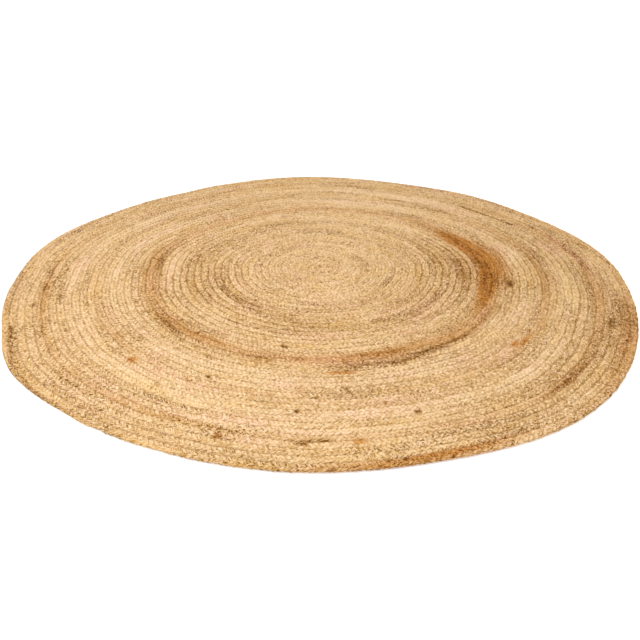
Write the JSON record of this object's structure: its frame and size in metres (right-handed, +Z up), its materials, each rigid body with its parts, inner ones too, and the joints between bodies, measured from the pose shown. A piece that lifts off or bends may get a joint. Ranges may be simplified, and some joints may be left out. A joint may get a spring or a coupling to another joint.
{
  "type": "round braided jute rug",
  "caption": "Round floor rug of one flat natural-jute braid coiled into a spiral and sewn row to row, with an uneven hand-made outline.",
  "frame": {"origin": "the coil's centre, on the flat underside that lies on the floor", "axes": "+Z up, out of the rug's top; +X to the right and +Y away from the viewer of the picture"},
  "size_m": [1.5236, 1.5204, 0.009],
  "materials": {
    "jute_braid": "natural undyed jute fibre, matt with a slight fibre sheen, plaited in three strands"
  },
  "bodies": {
    "root": {"braid_coil": "jute_braid"}
  },
  "joints": []
}
